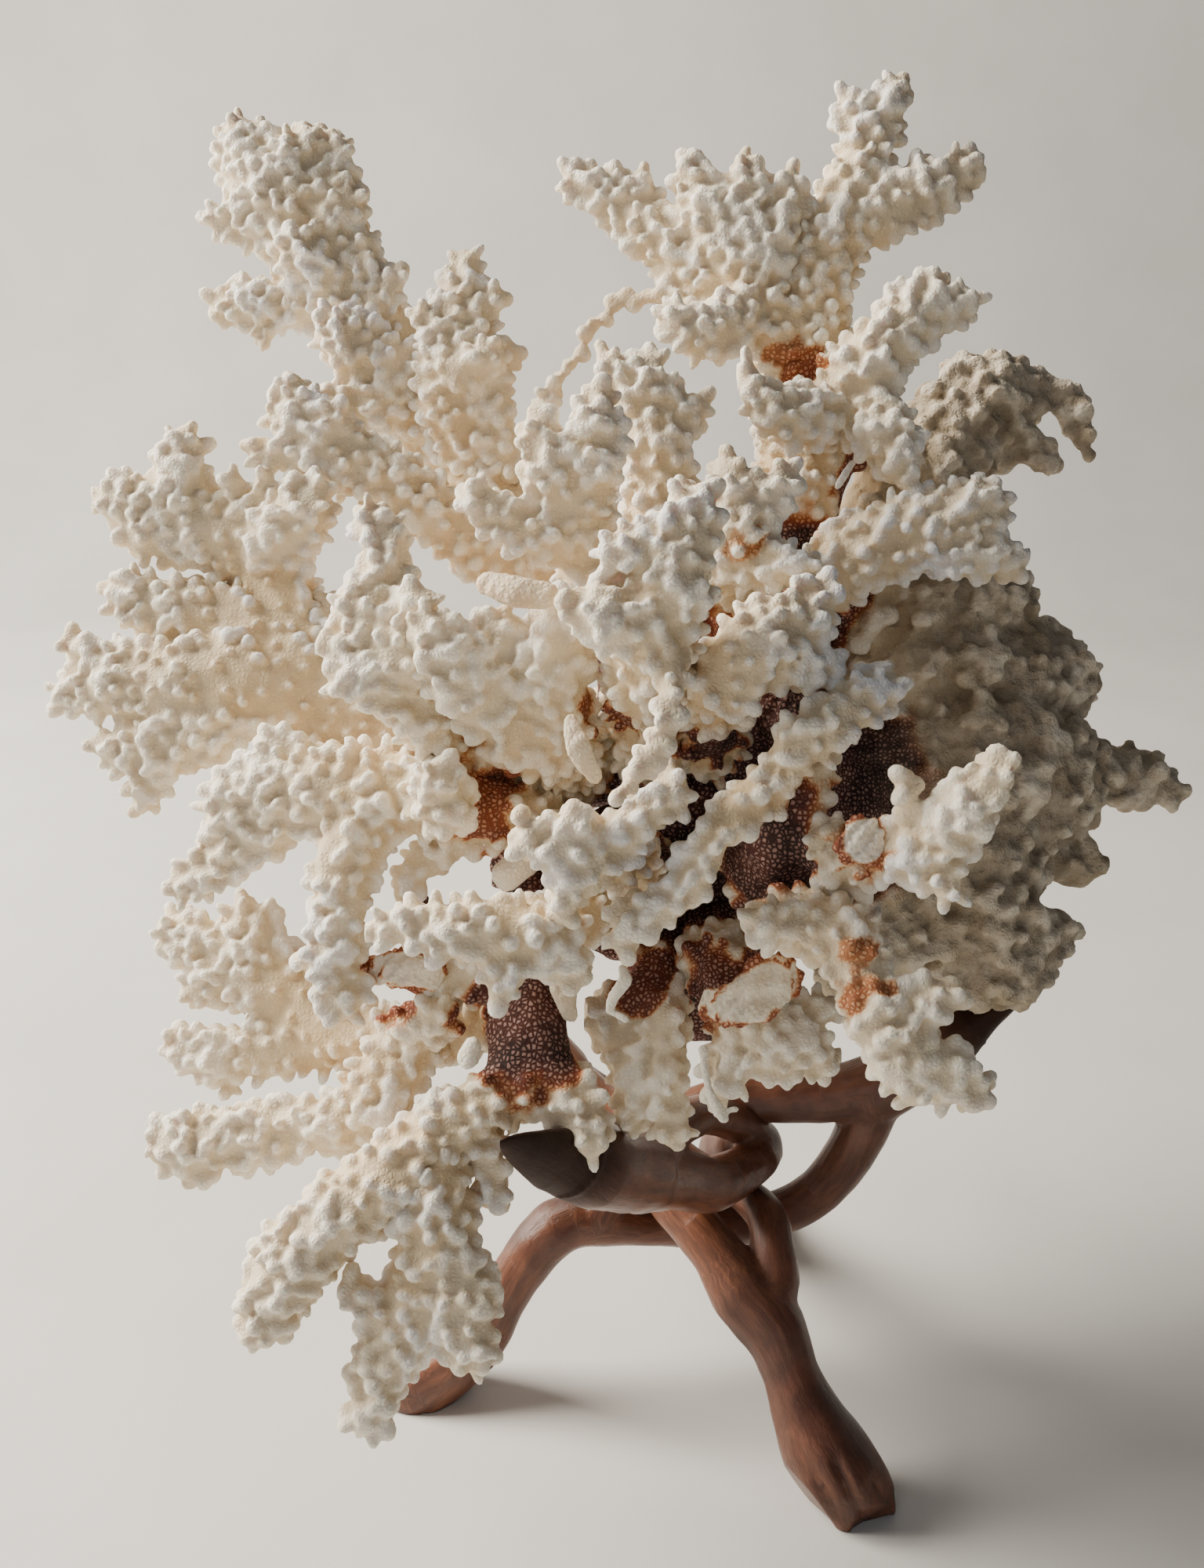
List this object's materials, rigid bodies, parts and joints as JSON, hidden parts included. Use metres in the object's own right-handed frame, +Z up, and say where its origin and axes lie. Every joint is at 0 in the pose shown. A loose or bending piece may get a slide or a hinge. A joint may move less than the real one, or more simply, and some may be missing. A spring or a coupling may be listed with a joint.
{
  "type": "coral specimen on stand",
  "caption": "Branching coral colony with warty flattened fingers, resting in the arms of an interlocked carved wooden tripod; a display piece for a shelf or table.",
  "frame": {"origin": "middle of the outline seen from above, on the surface that the three feet stand on", "axes": "+Z up, +Y away from the viewer of the front, +X to that viewer's right"},
  "size_m": [0.3029, 0.226, 0.3545],
  "materials": {
    "carved_wood": "polished, carved, reddish brown with dark patches",
    "coral_cream": "matt warty skeleton, cream white at the tips and rust brown at the roots",
    "coral_brown": "matt, finely pitted, maroon brown",
    "coral_grey": "matt, eroded, grey beige"
  },
  "bodies": {
    "root": {"branch_back_high": "coral_cream", "branch_back_left": "coral_cream", "branch_back_low": "coral_cream", "branch_back_low_right": "coral_cream", "branch_back_middle": "coral_cream", "branch_back_right": "coral_cream", "branch_back_upper_left": "coral_cream", "branch_back_upper_right": "coral_cream", "branch_bottom_broken": "coral_cream", "branch_bottom_fingers": "coral_cream", "branch_bottom_left": "coral_cream", "branch_bottom_left_drop": "coral_cream", "branch_centre_blade": "coral_cream", "branch_centre_front": "coral_cream", "branch_centre_left_blade": "coral_cream", "branch_centre_left_lower": "coral_cream", "branch_centre_left_upper": "coral_cream", "branch_centre_top_left": "coral_cream", "branch_centre_top_middle": "coral_cream", "branch_centre_top_right": "coral_cream", "branch_diagonal": "coral_cream", "branch_left_high": "coral_cream", "branch_left_inner": "coral_cream", "branch_left_lower": "coral_cream", "branch_left_middle": "coral_cream", "branch_left_upper": "coral_cream", "branch_lower_left_fan": "coral_cream", "branch_lower_left_finger": "coral_cream", "branch_right_front": "coral_cream", "branch_right_light": "coral_cream", "branch_right_lower": "coral_cream", "branch_upper_left": "coral_cream", "branch_upper_left_side": "coral_cream", "branch_upper_right": "coral_cream", "branch_upper_right_left": "coral_cream", "branch_upper_right_side": "coral_cream", "coral_heart": "coral_brown", "rocky_side_body": "coral_grey", "rocky_side_upper": "coral_grey", "stand_front_leg": "carved_wood", "stand_left_leg": "carved_wood", "stand_rear_leg": "carved_wood"}
  },
  "joints": []
}
